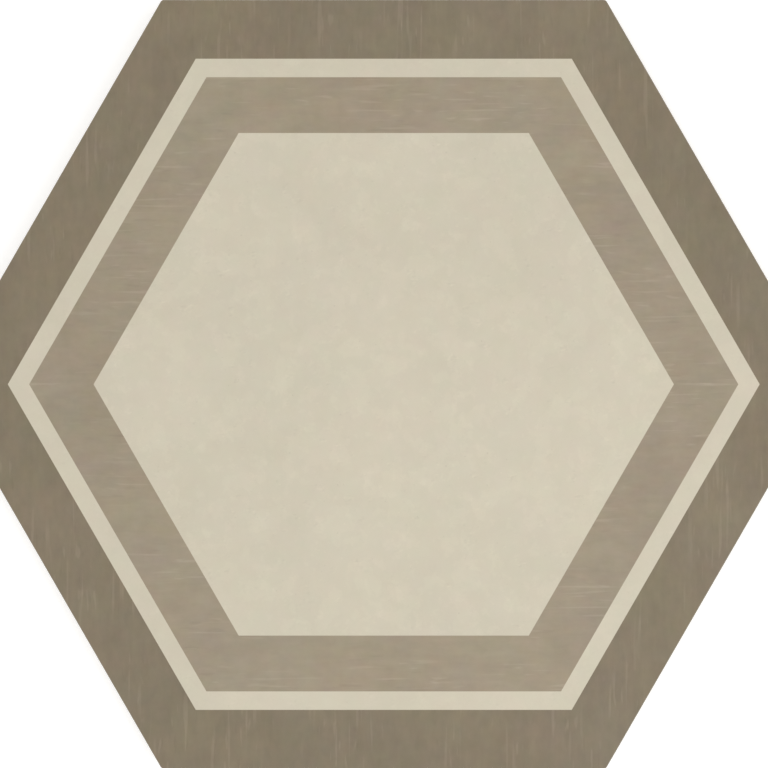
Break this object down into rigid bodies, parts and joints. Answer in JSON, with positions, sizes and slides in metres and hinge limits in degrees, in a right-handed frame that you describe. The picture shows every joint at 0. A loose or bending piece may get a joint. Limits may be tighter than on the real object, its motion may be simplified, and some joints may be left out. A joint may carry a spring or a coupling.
{
  "type": "hexagon floor tile",
  "caption": "Hexagonal porcelain floor tile with a cream centre, a woven-look taupe band and border, a stepped pressed edge and a honeycomb-keyed back.",
  "frame": {"origin": "middle of the flat back, on the plane that the tile lies on", "axes": "+Z from the keyed back to the printed top face, +X from one corner to the opposite corner, +Y across two flats"},
  "size_m": [0.2496, 0.2164, 0.009],
  "materials": {
    "printed_porcelain": "matte"
  },
  "bodies": {
    "root": {"hexagon_tile": "printed_porcelain"}
  },
  "joints": []
}
